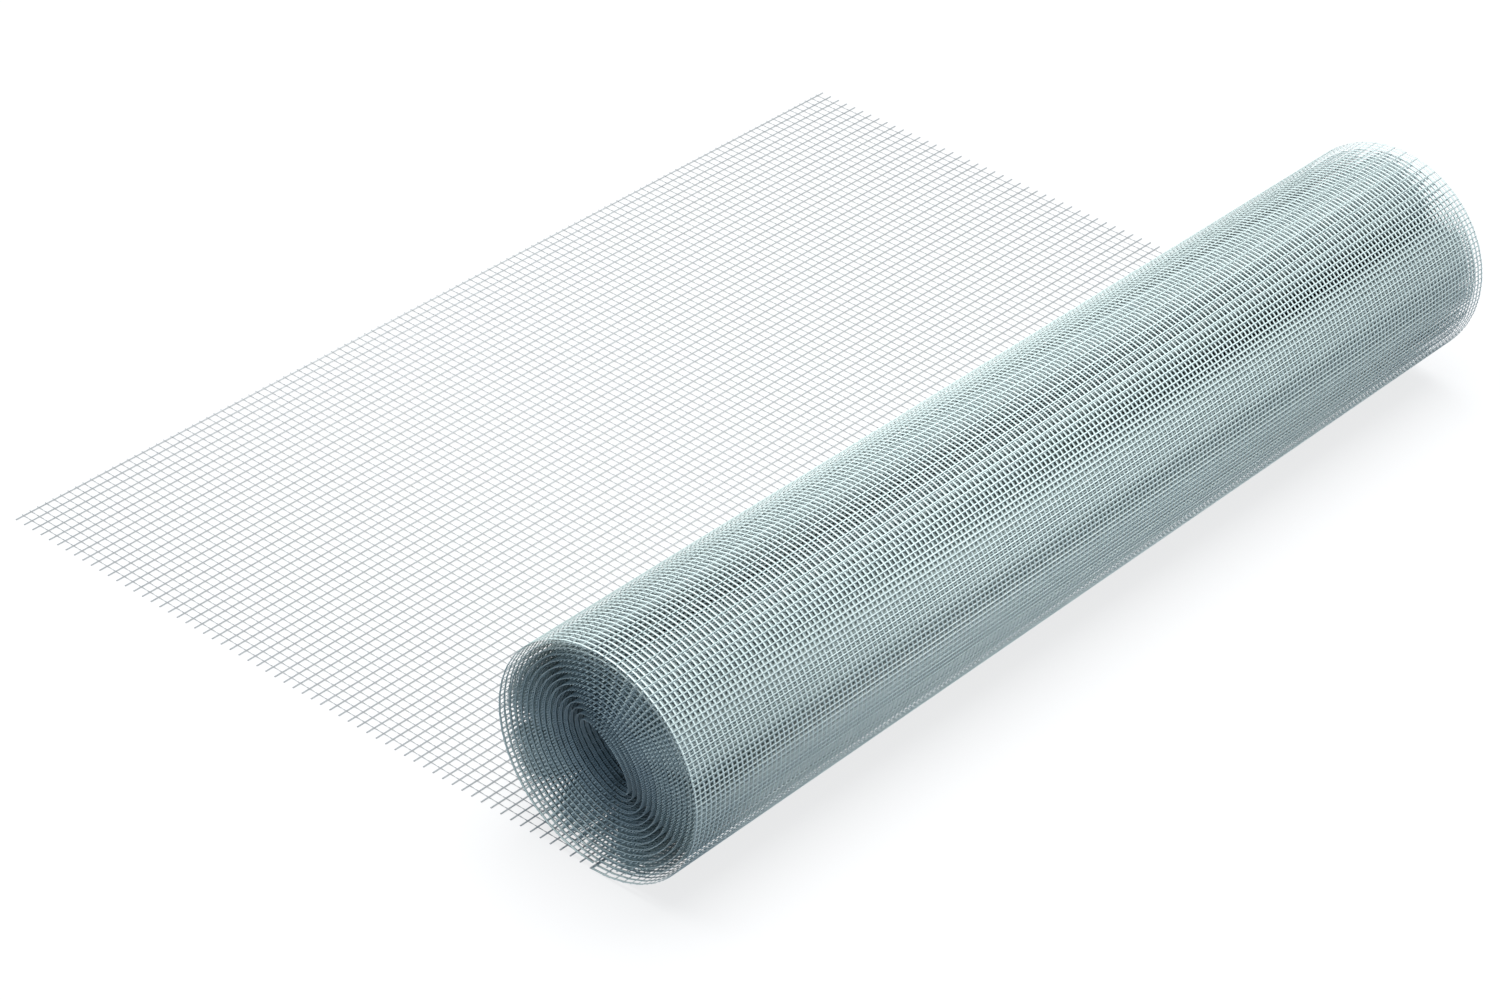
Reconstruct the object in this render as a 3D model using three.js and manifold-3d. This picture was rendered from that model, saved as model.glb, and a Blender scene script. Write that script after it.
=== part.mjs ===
// Roll of open glass-fibre mesh, lying on the floor with its free end run out flat.
//
// Lengths are in millimetres. X runs along the roll, Y points from the roll towards the free
// edge of the web, and Z is up. The origin is on the floor, under the middle of the object.

import * as THREE from 'three';
import { mergeGeometries, mergeVertices } from 'three/addons/utils/BufferGeometryUtils.js';
import Module from 'manifold-3d';

const wasm = await Module();
wasm.setup();

// Driving dimensions of the web and of its winding

const webWidth = 1000;
const webThickness = 1.2;
const turnCount = 15;

// The roll touches the floor along one line, where its outermost turn starts. The coil radius
// is measured there, and the tail reaches from that line to the free edge of the web.
const coilRadius = 99.3;
const tailLength = 632;

// The tail is open in a plain grid, far coarser than the real mesh. Its bars leave as much of
// it open as the yarns do.
const openingsAcross = 12;
const openingsAlong = 8;
const barWidth = 8;

// Each cut of the grid runs this far past both faces of the web
const cutOverrun = 0.5;

// The bore is measured at the inner end of the web, where it is narrowest
const boreRadius = 27.6;

// The gaps between the turns reach this far in from each end of the roll
const turnGapDepth = 8;

// Flat facets that stand for one turn of the spiral
const facetsPerTurn = 32;

// Distance from one turn to the next, centre to centre
const turnPitch = (coilRadius - boreRadius - webThickness) / turnCount;

// A point of the winding, seen along the roll. The turns count from the floor line, up the
// front, over the top and down the back; the inset is measured from the web's outer face.
function windingPoint(turns, inset) {
  const angle = turns * 2 * Math.PI;
  const radius = coilRadius - turns * turnPitch - inset;
  const across = -radius * Math.sin(angle);
  const height = coilRadius - radius * Math.cos(angle);
  return new THREE.Vector2(across, height);
}

function windingLine(firstTurn, lastTurn, inset) {
  const facets = Math.round((lastTurn - firstTurn) * facetsPerTurn);
  const points = [];
  for (let facet = 0; facet <= facets; facet += 1) {
    points.push(windingPoint(firstTurn + facet / facetsPerTurn, inset));
  }
  return points;
}

// Section of the web by itself: the flat tail, then every turn down to the bore
function webSection() {
  const freeEdge = [
    new THREE.Vector2(tailLength, webThickness),
    new THREE.Vector2(tailLength, 0),
  ];
  const outerFace = windingLine(0, turnCount, 0);
  const innerFace = windingLine(0, turnCount, webThickness);
  return new THREE.Shape([...freeEdge, ...outerFace, ...innerFace.reverse()]);
}

// Section of the wound turns as one mass. Its outline runs inside the outermost turn, and its
// hole inside the innermost one, so that the faces of the web stay the faces of the roll. The
// hole is drawn the other way round from the outline.
function packedTurnsSection() {
  const midThickness = webThickness / 2;
  const section = new THREE.Shape(windingLine(0, 1, midThickness));
  const innermostTurn = windingLine(turnCount - 1, turnCount, midThickness);
  section.holes.push(new THREE.Path(innermostTurn.reverse()));
  return section;
}

// Extrudes a section along the roll, half to each side of its middle. The section's own first
// axis becomes Y and its second one Z.
function prismAlongRoll(section, length) {
  const geometry = new THREE.ExtrudeGeometry(section, { depth: length, bevelEnabled: false });
  geometry.translate(0, 0, -length / 2);
  const across = new THREE.Vector3(0, 1, 0);
  const up = new THREE.Vector3(0, 0, 1);
  const along = new THREE.Vector3(1, 0, 0);
  geometry.applyMatrix4(new THREE.Matrix4().makeBasis(across, up, along));
  return geometry;
}

// The cuts of the grid, with a bar at the floor line, the free edge and both side edges
function tailOpenings() {
  const pitchAcross = (webWidth - barWidth) / openingsAcross;
  const pitchAlong = (tailLength - barWidth) / openingsAlong;
  const depth = webThickness + 2 * cutOverrun;
  const cuts = [];
  for (let column = 0; column < openingsAcross; column += 1) {
    const x = barWidth / 2 + (column + 0.5) * pitchAcross - webWidth / 2;
    for (let row = 0; row < openingsAlong; row += 1) {
      const y = barWidth / 2 + (row + 0.5) * pitchAlong;
      const cut = new THREE.BoxGeometry(pitchAcross - barWidth, pitchAlong - barWidth, depth);
      cut.translate(x, y, webThickness / 2);
      cuts.push(cut);
    }
  }
  return mergeGeometries(cuts);
}

function toSolid(geometry) {
  geometry.deleteAttribute('normal');
  geometry.deleteAttribute('uv');
  const merged = mergeVertices(geometry);
  const mesh = new wasm.Mesh({
    numProp: 3,
    vertProperties: new Float32Array(merged.attributes.position.array),
    triVerts: new Uint32Array(merged.index.array),
  });
  return new wasm.Manifold(mesh);
}

function toGeometry(solid) {
  const mesh = solid.getMesh();
  const geometry = new THREE.BufferGeometry();
  geometry.setAttribute('position', new THREE.BufferAttribute(mesh.vertProperties, 3));
  geometry.setIndex(new THREE.BufferAttribute(mesh.triVerts, 1));
  geometry.computeVertexNormals();
  return geometry;
}

// The web runs the full width. The turns are one mass between the gaps at the two ends.
function buildMeshWeb() {
  const web = toSolid(prismAlongRoll(webSection(), webWidth)).subtract(toSolid(tailOpenings()));
  const packedTurns = toSolid(prismAlongRoll(packedTurnsSection(), webWidth - 2 * turnGapDepth));
  const material = new THREE.MeshStandardMaterial({
    color: '#b4c5c2',
    roughness: 0.55,
    metalness: 0,
  });
  const mesh = new THREE.Mesh(toGeometry(web.add(packedTurns)), material);
  mesh.name = 'mesh_web';
  return mesh;
}

// The roll is drawn about its floor line, and moved so that the origin is under its middle
function centreOnFloor(mesh) {
  mesh.geometry.computeBoundingBox();
  const centre = mesh.geometry.boundingBox.getCenter(new THREE.Vector3());
  mesh.position.y = -centre.y;
}

const meshWeb = buildMeshWeb();
centreOnFloor(meshWeb);

const roll = new THREE.Group();
roll.name = 'fiberglass_mesh_roll';
roll.add(meshWeb);

export default roll;
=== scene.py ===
"""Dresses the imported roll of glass-fibre mesh with its yarns, its coating, a studio and a camera.

The mesh is made of two sets of yarns. The weft runs along the roll, from one side edge of the
web to the other. The warp runs along the web: round the roll where the web is wound, and over
the floor where it lies flat. Lengths are in metres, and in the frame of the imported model: X is
along the roll, Y points from the roll to the free edge of the web, and Z is up.
"""

import logging
import math
from dataclasses import dataclass
from enum import Enum
from typing import Any

import bpy
import numpy as np
from mathutils import Matrix, Vector


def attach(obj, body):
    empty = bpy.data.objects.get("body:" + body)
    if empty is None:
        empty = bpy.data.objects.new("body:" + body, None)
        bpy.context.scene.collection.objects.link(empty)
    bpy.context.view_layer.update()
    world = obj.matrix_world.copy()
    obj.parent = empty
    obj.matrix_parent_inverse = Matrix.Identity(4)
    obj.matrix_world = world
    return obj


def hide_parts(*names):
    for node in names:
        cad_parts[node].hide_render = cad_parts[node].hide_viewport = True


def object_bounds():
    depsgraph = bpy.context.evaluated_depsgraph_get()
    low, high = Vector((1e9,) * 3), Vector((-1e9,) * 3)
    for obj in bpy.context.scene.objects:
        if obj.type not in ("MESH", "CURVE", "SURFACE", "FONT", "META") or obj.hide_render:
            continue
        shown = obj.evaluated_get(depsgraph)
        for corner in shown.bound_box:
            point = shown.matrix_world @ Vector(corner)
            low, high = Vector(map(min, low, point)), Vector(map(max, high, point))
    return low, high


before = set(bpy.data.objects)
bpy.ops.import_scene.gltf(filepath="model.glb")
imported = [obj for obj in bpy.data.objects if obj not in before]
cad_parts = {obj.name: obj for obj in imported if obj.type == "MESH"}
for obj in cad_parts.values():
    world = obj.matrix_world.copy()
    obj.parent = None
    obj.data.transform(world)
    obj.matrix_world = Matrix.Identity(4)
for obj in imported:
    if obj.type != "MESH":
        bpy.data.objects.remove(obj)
CAD_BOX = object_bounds()

LOG = logging.getLogger("fiberglass_mesh_roll")
MM = 0.001
FULL_TURN = 360.0
CAD_NODE = "mesh_web"
BODY = "root"

# From the line where the roll touches the floor to the free edge of the web
TAIL_LENGTH = 632 * MM

# Corners of each face along a yarn
WALL_CORNERS = 4


class YarnRun(Enum):
    """The way that the yarns of one piece run, which the grain of their finish follows."""

    ALONG_ROLL = "along the roll"
    ALONG_WEB = "along the flat web"
    ROUND_ROLL = "round the roll"


def linear(hex_colour: str) -> tuple[float, float, float, float]:
    """Turns an sRGB colour into linear light.

    Args:
        hex_colour: The colour as six hex digits after a number sign.

    Returns:
        Red, green, blue and a full alpha.
    """
    parts = [int(hex_colour[i : i + 2], 16) / 255 for i in (1, 3, 5)]
    lit = [p / 12.92 if p <= 0.04045 else ((p + 0.055) / 1.055) ** 2.4 for p in parts]
    return (lit[0], lit[1], lit[2], 1.0)


def add_node(
    tree: bpy.types.NodeTree,
    kind: str,
    settings: dict[Any, Any] | None = None,
    links: dict[Any, bpy.types.NodeSocket] | None = None,
) -> bpy.types.Node:
    """Adds one node with its settings and the links into it.

    Args:
        tree: The node tree that gets the node.
        kind: Blender's name of the node type.
        settings: Values by the name of a property, or by the name or number of an input.
        links: Output sockets by the name or number of the input that they go into.

    Returns:
        The new node.
    """
    node = tree.nodes.new(kind)
    for key, value in (settings or {}).items():
        if isinstance(key, str) and hasattr(node, key):
            setattr(node, key, value)
        else:
            node.inputs[key].default_value = value
    for key, socket in (links or {}).items():
        tree.links.new(socket, node.inputs[key])
    return node


@dataclass(frozen=True)
class Winding:
    """The spiral that the web is wound on, seen along the roll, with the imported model's sizes.

    Turns count from the line where the roll touches the floor: up the front, over the top and
    down the back. An inset is measured inwards from the outer face of the web.
    """

    axis_y: float
    coil_radius: float = 99.3 * MM
    bore_radius: float = 27.6 * MM
    web_thickness: float = 1.2 * MM
    turn_count: int = 15

    @property
    def turn_pitch(self) -> float:
        """Distance from one turn to the next."""
        return (self.coil_radius - self.bore_radius - self.web_thickness) / self.turn_count

    def outward(self, turns: np.ndarray) -> np.ndarray:
        """Unit vectors that point out of the roll.

        Args:
            turns: Places on the winding, in turns.

        Returns:
            One vector for each place.
        """
        angle = turns * 2 * math.pi
        return np.stack([np.zeros_like(angle), -np.sin(angle), -np.cos(angle)], -1)

    def point(self, turns: np.ndarray, inset: float) -> np.ndarray:
        """Points of the winding in the plane X = 0.

        Args:
            turns: Places on the winding, in turns.
            inset: Depth inside the outer face of the web.

        Returns:
            One point for each place.
        """
        radius = self.coil_radius - turns * self.turn_pitch - inset
        centre = np.array([0.0, self.axis_y, self.coil_radius])
        return centre + self.outward(turns) * radius[..., None]


@dataclass(frozen=True)
class YarnSection:
    """The cross-section of a yarn: a flattened round with few sides, shaded smooth."""

    width: float
    thickness: float
    sides: int = 4

    def ring(self) -> tuple[np.ndarray, np.ndarray]:
        """Offsets of the corners of the section.

        Returns:
            Offsets across the yarn, and offsets out of the web.
        """
        angle = np.arange(self.sides) * 2 * math.pi / self.sides
        return self.width / 2 * np.cos(angle), self.thickness / 2 * np.sin(angle)


class YarnBundle:
    """Collects yarns and makes one mesh object of them."""

    def __init__(self, name: str, section: YarnSection) -> None:
        """Starts an empty bundle.

        Args:
            name: The name of the piece.
            section: The section that all its yarns have.
        """
        self.name = name
        self.section = section
        self.corners: list[np.ndarray] = []
        self.sizes: list[np.ndarray] = []
        self.vertices: list[np.ndarray] = []
        self.vertex_count = 0

    def add(self, centres: np.ndarray, out: np.ndarray) -> None:
        """Adds yarns that have the same number of stations.

        Args:
            centres: Points on the centre lines, as yarns by stations by three.
            out: Unit vectors out of the web at those points, of the same shape.
        """
        yarns, stations, _ = centres.shape
        sides = self.section.sides
        tangent = np.gradient(centres, axis=1)
        tangent /= np.linalg.norm(tangent, axis=2, keepdims=True)
        across = np.cross(out, tangent)
        side, up = self.section.ring()
        rings = (
            centres[:, :, None, :]
            + across[:, :, None, :] * side[:, None]
            + out[:, :, None, :] * up[:, None]
        )
        index = np.arange(yarns * stations * sides).reshape(yarns, stations, sides)
        index = index + self.vertex_count
        after = np.roll(index, -1, axis=2)
        walls = np.stack([index[:, :-1], after[:, :-1], after[:, 1:], index[:, 1:]], -1)
        ends = np.concatenate([index[:, 0, ::-1], index[:, -1]])
        self.vertices.append(rings.reshape(-1, 3))
        self.corners += [walls.reshape(-1), ends.reshape(-1)]
        self.sizes += [np.full(walls.size // WALL_CORNERS, WALL_CORNERS), np.full(len(ends), sides)]
        self.vertex_count += index.size

    def build(self) -> bpy.types.Object:
        """Makes the mesh object and links it to the scene.

        Returns:
            The new object.
        """
        corners = np.concatenate(self.corners)
        sizes = np.concatenate(self.sizes)
        starts = np.concatenate([[0], np.cumsum(sizes)[:-1]])
        mesh = bpy.data.meshes.new(self.name)
        mesh.vertices.add(self.vertex_count)
        points = np.concatenate(self.vertices).astype(np.float32)
        mesh.vertices.foreach_set("co", points.ravel())
        mesh.loops.add(len(corners))
        mesh.loops.foreach_set("vertex_index", corners.astype(np.int32))
        mesh.polygons.add(len(sizes))
        mesh.polygons.foreach_set("loop_start", starts.astype(np.int32))
        mesh.polygons.foreach_set("use_smooth", sizes == WALL_CORNERS)
        mesh.update(calc_edges=True)
        piece = bpy.data.objects.new(self.name, mesh)
        bpy.context.scene.collection.objects.link(piece)
        return piece


# Glass roving, dipped in a clear alkali-resistant coating and dried. To the eye it is satin: the
# coating rounds off the light into soft broad glints, and the filaments under it still show as
# fine paler and darker streaks along the yarn. Real filaments are about 0.02 mm thick, too fine
# to show, so the streaks are drawn 0.3 mm apart.
@dataclass(frozen=True)
class CoatedGlassYarn:
    """The finish of yarns of dip-coated glass roving that run one way."""

    name: str
    run: YarnRun
    body_hex: str
    streak_hex: str
    axis: tuple[float, float] = (0.0, 0.0)
    roughness: float = 0.42
    ior: float = 1.5
    streak_pitch: float = 0.3 * MM
    streak_length: float = 25 * MM
    streak_detail: float = 2.0
    streak_breakup: float = 0.6
    streak_level: float = 0.3
    body_level: float = 0.62
    relief: float = 0.25

    def grain(self, tree: bpy.types.NodeTree) -> bpy.types.NodeSocket:
        """Coordinates that are fine across the yarn and slow along it.

        Args:
            tree: The node tree of the material.

        Returns:
            The socket that gives the coordinates.
        """
        fine = 1 / self.streak_pitch
        slow = 1 / self.streak_length
        place = add_node(tree, "ShaderNodeTexCoord").outputs["Object"]
        if self.run is YarnRun.ALONG_ROLL:
            scale = (slow, fine, fine)
        elif self.run is YarnRun.ALONG_WEB:
            scale = (fine, slow, fine)
        else:
            place = self.round_the_roll(tree, place)
            scale = (fine, fine, slow)
        settings = {"vector_type": "POINT", "Scale": scale}
        return add_node(tree, "ShaderNodeMapping", settings, {"Vector": place}).outputs[0]

    def round_the_roll(
        self, tree: bpy.types.NodeTree, place: bpy.types.NodeSocket
    ) -> bpy.types.NodeSocket:
        """Turns a place into distance along the roll, distance from its axis and arc length.

        Args:
            tree: The node tree of the material.
            place: The place in the frame of the model.

        Returns:
            The socket that gives the three lengths.
        """
        axis_y, axis_z = self.axis
        x, y, z = add_node(tree, "ShaderNodeSeparateXYZ", {}, {0: place}).outputs
        over = add_node(tree, "ShaderNodeMath", {"operation": "SUBTRACT", 1: axis_y}, {0: y}).outputs[0]
        up = add_node(tree, "ShaderNodeMath", {"operation": "SUBTRACT", 1: axis_z}, {0: z}).outputs[0]
        flat = add_node(tree, "ShaderNodeCombineXYZ", {}, {1: over, 2: up}).outputs[0]
        radius = add_node(tree, "ShaderNodeVectorMath", {"operation": "LENGTH"}, {0: flat}).outputs[1]
        angle = add_node(tree, "ShaderNodeMath", {"operation": "ARCTAN2"}, {0: over, 1: up}).outputs[0]
        arc = add_node(tree, "ShaderNodeMath", {"operation": "MULTIPLY"}, {0: angle, 1: radius})
        lengths = {0: x, 1: radius, 2: arc.outputs[0]}
        return add_node(tree, "ShaderNodeCombineXYZ", {}, lengths).outputs[0]

    def build(self) -> bpy.types.Material:
        """Makes the material.

        Returns:
            The new material.
        """
        material = bpy.data.materials.new(self.name)
        material.use_nodes = True
        tree = material.node_tree
        tree.nodes.clear()
        noise = {"Scale": 1.0, "Detail": self.streak_detail, "Roughness": self.streak_breakup}
        streaks = add_node(tree, "ShaderNodeTexNoise", noise, {"Vector": self.grain(tree)})
        ramp = add_node(tree, "ShaderNodeValToRGB", {}, {"Fac": streaks.outputs[0]})
        streak, body = ramp.color_ramp.elements
        streak.position = self.streak_level
        body.position = self.body_level
        streak.color = linear(self.streak_hex)
        body.color = linear(self.body_hex)
        bump = add_node(
            tree,
            "ShaderNodeBump",
            {"Strength": self.relief, "Distance": self.streak_pitch},
            {"Height": streaks.outputs[0]},
        )
        shader = add_node(
            tree,
            "ShaderNodeBsdfPrincipled",
            {"Roughness": self.roughness, "IOR": self.ior},
            {"Base Color": ramp.outputs[0], "Normal": bump.outputs[0]},
        )
        add_node(tree, "ShaderNodeOutputMaterial", {}, {"Surface": shader.outputs[0]})
        return material


def hold(piece: bpy.types.Object, finish: CoatedGlassYarn) -> None:
    """Gives a piece its finish, fixes it to the model and reports it.

    Args:
        piece: The piece, in place.
        finish: The finish that it gets.
    """
    piece.data.materials.append(finish.build())
    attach(piece, BODY)
    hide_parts(CAD_NODE)
    piece.data.calc_loop_triangles()
    LOG.info("%s: %d triangles", piece.name, len(piece.data.loop_triangles))


@dataclass(frozen=True)
class TurnGroup:
    """Turns built as one piece, counted from the outside, and their yarn colours, darker inwards as
    painted shade.
    """

    first: int
    last: int
    body_hex: str
    streak_hex: str

    @property
    def label(self) -> str:
        """The turns of the group, for the names of its pieces.

        Returns:
            The number of its one turn, or the numbers of its outer and its inner one.
        """
        if self.last == self.first + 1:
            return f"turn_{self.last}"
        return f"turns_{self.first + 1}_to_{self.last}"


# The deeper turns get darker yarn colours, which are painted shade: each drawn turn stands for about
# six real ones, which keep out more of the light
TURN_GROUPS_WITH_PAINTED_SHADE = (
    TurnGroup(0, 1, "#c4cfca", "#adbbb7"),
    TurnGroup(1, 3, "#c0cbc7", "#a9b6b3"),
    TurnGroup(3, 6, "#b4c1bf", "#9dacab"),
    TurnGroup(6, 9, "#a6b5b5", "#90a0a1"),
    TurnGroup(9, 12, "#93a3a6", "#7e8f93"),
    TurnGroup(12, 15, "#7a8b8f", "#66777c"),
)


@dataclass
class WoundWeb:
    """The part of the web that is wound into the roll."""

    winding: Winding
    width: float

    # The yarns are flat tapes where they are wound, and the outermost weft is the narrowest
    warp: YarnSection = YarnSection(2.0 * MM, 0.4 * MM)
    weft: YarnSection = YarnSection(1.7 * MM, 0.4 * MM)
    outer_weft: YarnSection = YarnSection(1.2 * MM, 0.4 * MM)
    warp_pitch: float = 5.0 * MM
    weft_stub: float = 2.2 * MM

    # The weft is widest apart a little in front of the roll's top, and at the floor
    close_weft_pitch: float = 4.3 * MM
    top_weft_pitch: float = 12.0 * MM
    floor_weft_pitch: float = 12.0 * MM
    top_degrees: float = 3.7
    wide_weft_degrees: float = 23.0
    pitch_samples: int = 720

    # Warp yarns that the deeper turns lack beside the outermost one, at the near and the far rim
    near_rim_steps: int = 1
    far_rim_steps: int = 3

    # Near the near end the innermost turn is moved in by the drift, and out and in by the lean
    drift: float = 7.0 * MM
    lean: float = 15.0 * MM
    lean_place: float = 0.375
    lean_reach: float = 120 * MM

    # How far a straight step of a hoop may cut inside the round
    chord_error: float = 0.35 * MM

    def stations(self, turn: int) -> int:
        """Steps that a turn needs to look round.

        Args:
            turn: The number of the turn, from the outside.

        Returns:
            The number of straight steps.
        """
        radius = self.winding.coil_radius - turn * self.winding.turn_pitch
        return math.ceil(math.pi / math.acos(1 - self.chord_error / radius))

    def shifted(self, places: np.ndarray, turns: np.ndarray) -> np.ndarray:
        """Moves places near the near end of the roll as the turns lean there.

        The deeper turns stand out at the front of the roll's top, and in at the back of its
        bottom. The lean dies out along the roll, where the turns hold each other straight.

        Args:
            places: Places along the roll.
            turns: Places on the winding, in turns.

        Returns:
            The moved places along the roll.
        """
        round_roll = np.cos(2 * math.pi * (turns - self.lean_place))
        lean = (self.drift - self.lean * round_roll) * turns / self.winding.turn_count
        return places + lean * np.exp(-(places + self.width / 2) / self.lean_reach)

    def warp_places(self, turn: int) -> np.ndarray:
        """Places of the warp yarns of a turn along the roll, before they lean.

        The outer turns reach past the deeper ones at both ends, by one yarn a turn at first.

        Args:
            turn: The number of the turn, from the outside.

        Returns:
            The places, from the near edge to the far one.
        """
        reach = (self.width - self.warp.width) / 2
        places = np.linspace(-reach, reach, round(2 * reach / self.warp_pitch) + 1)
        near_steps = min(turn, self.near_rim_steps)
        far_steps = min(turn, self.far_rim_steps)
        return places[near_steps : len(places) - far_steps]

    def build_warp(self, group: TurnGroup) -> bpy.types.Object:
        """Makes the warp yarns of some turns as one piece.

        Args:
            group: The turns.

        Returns:
            The new piece.
        """
        bundle = YarnBundle(f"wound_warp_{group.label}", self.warp)
        for turn in range(group.first, group.last):
            turns = np.linspace(turn, turn + 1, self.stations(turn) + 1)
            line = self.winding.point(turns, self.winding.web_thickness / 2)
            places = self.warp_places(turn)
            centres = np.repeat(line[None], len(places), axis=0)
            centres[:, :, 0] = self.shifted(places[:, None], turns)
            out = np.broadcast_to(self.winding.outward(turns), centres.shape)
            bundle.add(centres, out)
        return bundle.build()

    def weft_places(self, turn: int) -> np.ndarray:
        """Places of the weft yarns of a turn, wide apart at the top and the floor only.

        Args:
            turn: The number of the turn, from the outside.

        Returns:
            The places, in turns.
        """
        part = np.linspace(0, 1, self.pitch_samples + 1)
        from_top = (0.5 - part) * FULL_TURN
        from_floor = np.abs(from_top) - FULL_TURN / 2
        top = np.exp(-(((from_top - self.top_degrees) / self.wide_weft_degrees) ** 2))
        floor = np.exp(-((from_floor / self.wide_weft_degrees) ** 2))
        pitch = (
            self.close_weft_pitch
            + (self.top_weft_pitch - self.close_weft_pitch) * top
            + (self.floor_weft_pitch - self.close_weft_pitch) * floor
        )
        step = 2 * math.pi * self.winding.coil_radius * part[1] / pitch
        passed = np.concatenate([[0], np.cumsum(step[1:])])
        count = round(passed[-1])
        numbers = np.arange(count) * passed[-1] / count
        return turn + np.interp(numbers, passed, part)

    def build_weft(self, group: TurnGroup) -> bpy.types.Object:
        """Makes the weft yarns of some turns as one piece.

        Args:
            group: The turns.

        Returns:
            The new piece.
        """
        outermost = group.first == 0
        section = self.outer_weft if outermost else self.weft
        stub = 0.0 if outermost else self.weft_stub
        bundle = YarnBundle(f"wound_weft_{group.label}", section)
        for turn in range(group.first, group.last):
            turns = self.weft_places(turn)
            middle = self.winding.point(turns, self.winding.web_thickness / 2)
            warp = self.warp_places(turn)
            centres = np.repeat(middle[:, None], 2, axis=1)
            centres[:, 0, 0] = self.shifted(warp[0], turns) - self.warp.width / 2 - stub
            centres[:, 1, 0] = warp[-1] + self.warp.width / 2
            out = np.repeat(self.winding.outward(turns)[:, None], 2, axis=1)
            bundle.add(centres, out)
        return bundle.build()

    def dress(self, piece: bpy.types.Object, run: YarnRun, group: TurnGroup) -> None:
        """Gives a piece of the roll its finish.

        Args:
            piece: The piece.
            run: The way that its yarns run.
            group: The turns whose colours, darkened with depth as painted shade, it gets.
        """
        axis = (self.winding.axis_y, self.winding.coil_radius)
        name = f"{piece.name}_dip_coated_glass_roving"
        # The deeper groups' darker colours are painted shade, not a different yarn
        hold(piece, CoatedGlassYarn(name, run, group.body_hex, group.streak_hex, axis))

    def make(self) -> None:
        """Builds and dresses the pieces of the roll."""
        for group in TURN_GROUPS_WITH_PAINTED_SHADE:
            self.dress(self.build_warp(group), YarnRun.ROUND_ROLL, group)
            self.dress(self.build_weft(group), YarnRun.ALONG_ROLL, group)


@dataclass
class FlatWeb:
    """The free end of the web, which lies flat on the floor."""

    floor_line_y: float
    free_edge_y: float
    width: float
    weft: YarnSection = YarnSection(1.5 * MM, 0.7 * MM, 6)
    warp: YarnSection = YarnSection(0.50 * MM, 0.26 * MM, 3)
    weft_pitch: float = 10.0 * MM
    warp_pitch: float = 8.0 * MM
    middle_height: float = 0.6 * MM
    warp_stub: float = 2.0 * MM
    twist_side: float = 0.12 * MM

    # The colours of the yarns' bodies and of their streaks
    weft_hexes: tuple[str, str] = ("#a2a4a2", "#929492")
    warp_hexes: tuple[str, str] = ("#a6a8a6", "#979997")

    def build_weft(self) -> bpy.types.Object:
        """Makes the weft yarns, whose ends stand out past the warp like teeth.

        Returns:
            The new piece.
        """
        bundle = YarnBundle("flat_weft", self.weft)
        places = np.arange(self.free_edge_y - self.weft.width / 2, self.floor_line_y, -self.weft_pitch)
        ends = np.array([-self.width / 2, self.width / 2])
        centres = np.empty((len(places), len(ends), 3))
        centres[:, :, 0] = ends
        centres[:, :, 1] = places[:, None]
        centres[:, :, 2] = self.middle_height
        out = np.zeros_like(centres)
        out[:, :, 2] = 1
        bundle.add(centres, out)
        return bundle.build()

    def build_warp(self) -> bpy.types.Object:
        """Makes the warp, in pairs that twist round the weft from one weft yarn to the next.

        Returns:
            The new piece.
        """
        bundle = YarnBundle("flat_warp", self.warp)
        first_weft = self.free_edge_y - self.weft.width / 2
        reach = (self.weft.thickness + self.warp.thickness) / 2
        count = round(self.width / self.warp_pitch) - 1
        places = (np.arange(count) + 1) * self.warp_pitch - self.width / 2
        y = np.arange(first_weft, self.floor_line_y, -self.weft_pitch / 2)
        y = np.concatenate([[first_weft + self.warp_stub], y])
        phase = (first_weft - y) / self.weft_pitch * math.pi
        for strand in (-1, 1):
            centres = np.empty((count, len(y), 3))
            centres[:, :, 0] = places[:, None] + strand * self.twist_side * np.sin(phase)
            centres[:, :, 1] = y
            centres[:, :, 2] = self.middle_height + strand * reach * np.cos(phase)
            out = np.zeros_like(centres)
            out[:, :, 2] = 1
            bundle.add(centres, out)
        return bundle.build()

    def dress(self, piece: bpy.types.Object, run: YarnRun, hexes: tuple[str, str]) -> None:
        """Gives a piece of the flat web its finish.

        Args:
            piece: The piece.
            run: The way that its yarns run.
            hexes: The colours of the yarns' bodies and of their streaks.
        """
        hold(piece, CoatedGlassYarn(f"{piece.name}_dip_coated_glass_roving", run, *hexes))

    def make(self) -> None:
        """Builds and dresses the pieces of the flat web."""
        self.dress(self.build_weft(), YarnRun.ALONG_ROLL, self.weft_hexes)
        self.dress(self.build_warp(), YarnRun.ALONG_WEB, self.warp_hexes)


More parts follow.
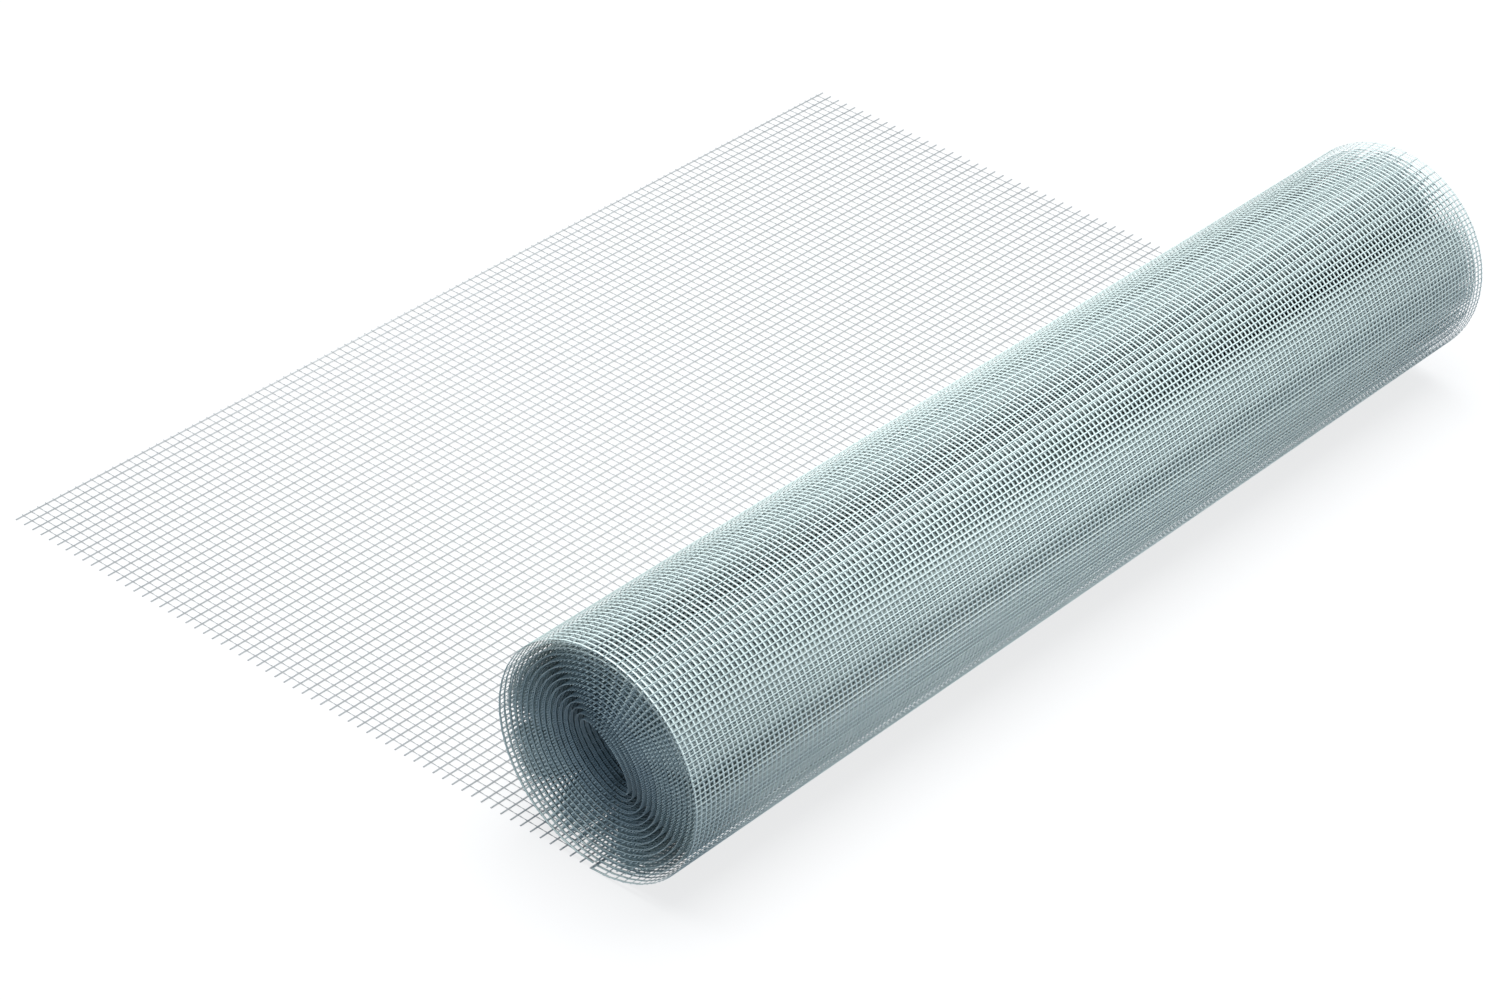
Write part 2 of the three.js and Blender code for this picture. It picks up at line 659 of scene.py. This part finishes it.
# Cast opal acrylic with its lamps underneath. To the eye it is an even matt white, on which the
# roll throws a faint soft shadow. The thickness of the real sheet hides its lamps almost wholly,
# so its cloudiness is the faintest, and as wide as the lamps would stand apart.
@dataclass(frozen=True)
class LitTable:
    """The table top that the roll lies on, lit from below."""

    light_hex: str = "#5a5a5a"
    dark_hex: str = "#575757"
    glow_hex: str = "#ffffff"
    glow: float = 0.78
    roughness: float = 0.9
    cloud_size: float = 400 * MM
    cloud_detail: float = 1.0
    side: float = 30.0

    def dress(self, mesh: bpy.types.Mesh) -> None:
        """Gives the table top its finish.

        Args:
            mesh: The mesh of the table top.
        """
        material = bpy.data.materials.new("opal_acrylic_lit_from_below")
        material.use_nodes = True
        tree = material.node_tree
        tree.nodes.clear()
        place = add_node(tree, "ShaderNodeTexCoord").outputs["Object"]
        noise = {"Scale": 1 / self.cloud_size, "Detail": self.cloud_detail}
        clouds = add_node(tree, "ShaderNodeTexNoise", noise, {"Vector": place})
        ramp = add_node(tree, "ShaderNodeValToRGB", {}, {"Fac": clouds.outputs[0]})
        dark, light = ramp.color_ramp.elements
        dark.color = linear(self.dark_hex)
        light.color = linear(self.light_hex)
        shader = add_node(
            tree,
            "ShaderNodeBsdfPrincipled",
            {
                "Roughness": self.roughness,
                "Emission Color": linear(self.glow_hex),
                "Emission Strength": self.glow,
            },
            {"Base Color": ramp.outputs[0]},
        )
        add_node(tree, "ShaderNodeOutputMaterial", {}, {"Surface": shader.outputs[0]})
        mesh.materials.append(material)

    def make(self) -> None:
        """Builds and dresses the table top."""
        half = self.side / 2
        mesh = bpy.data.meshes.new("studio_floor")
        corners = [(-half, -half, 0), (half, -half, 0), (half, half, 0), (-half, half, 0)]
        mesh.from_pydata(corners, [], [(0, 1, 2, 3)])
        floor = bpy.data.objects.new("studio_floor", mesh)
        bpy.context.scene.collection.objects.link(floor)
        self.dress(mesh)
        # The yarns mirror the table, but its glow doesn't light them
        floor.visible_diffuse = False


@dataclass
class Studio:
    """Plain soft light on a lit table: a pale blue-white surround and one large softbox above."""

    surround_hex: str = "#c6def6"
    surround_strength: float = 0.6
    box_place: tuple[float, float, float] = (0.3, 0.0, 5.0)
    box_side: float = 4.5
    box_power: float = 620.0

    def make(self) -> None:
        """Builds the table, the surround and the softbox."""
        LitTable().make()
        world = bpy.data.worlds.new("pale_surround")
        world.use_nodes = True
        background = world.node_tree.nodes["Background"]
        background.inputs["Color"].default_value = linear(self.surround_hex)
        background.inputs["Strength"].default_value = self.surround_strength
        bpy.context.scene.world = world
        lamp = bpy.data.lights.new("softbox", "AREA")
        lamp.shape = "SQUARE"
        lamp.size = self.box_side
        lamp.energy = self.box_power
        box = bpy.data.objects.new("softbox", lamp)
        box.location = self.box_place
        box.rotation_euler = (-Vector(self.box_place)).to_track_quat("-Z", "Y").to_euler()
        bpy.context.scene.collection.objects.link(box)


@dataclass
class PhotoCamera:
    """The camera, at the place and angle that the flat web's yarns and corners give."""

    place: tuple[float, float, float] = (-2.2505, -1.8492, 1.9490)
    aim: tuple[float, float, float] = (-0.1760, -0.1304, 0.1000)
    roll_degrees: float = 2.80
    lens_mm: float = 101.0
    sensor_mm: float = 36.0

    def make(self) -> None:
        """Builds the camera and makes it the scene's camera."""
        data = bpy.data.cameras.new("camera")
        data.lens = self.lens_mm
        data.sensor_width = self.sensor_mm
        data.sensor_fit = "HORIZONTAL"
        camera = bpy.data.objects.new("camera", data)
        look = (Vector(self.aim) - Vector(self.place)).to_track_quat("-Z", "Y").to_matrix()
        roll = Matrix.Rotation(math.radians(self.roll_degrees), 3, "Z")
        camera.matrix_world = Matrix.Translation(self.place) @ (look @ roll).to_4x4()
        bpy.context.scene.collection.objects.link(camera)
        bpy.context.scene.camera = camera


def main() -> None:
    """Builds the object, the studio and the camera."""
    logging.basicConfig(level=logging.INFO, format="%(name)s: %(message)s")
    low, high = CAD_BOX
    floor_line_y = high.y - TAIL_LENGTH
    width = high.x - low.x
    PhotoCamera().make()
    Studio().make()
    WoundWeb(Winding(floor_line_y), width).make()
    FlatWeb(floor_line_y, high.y, width).make()
    bpy.context.scene.view_settings.view_transform = "Standard"


if __name__ == "__main__":
    main()
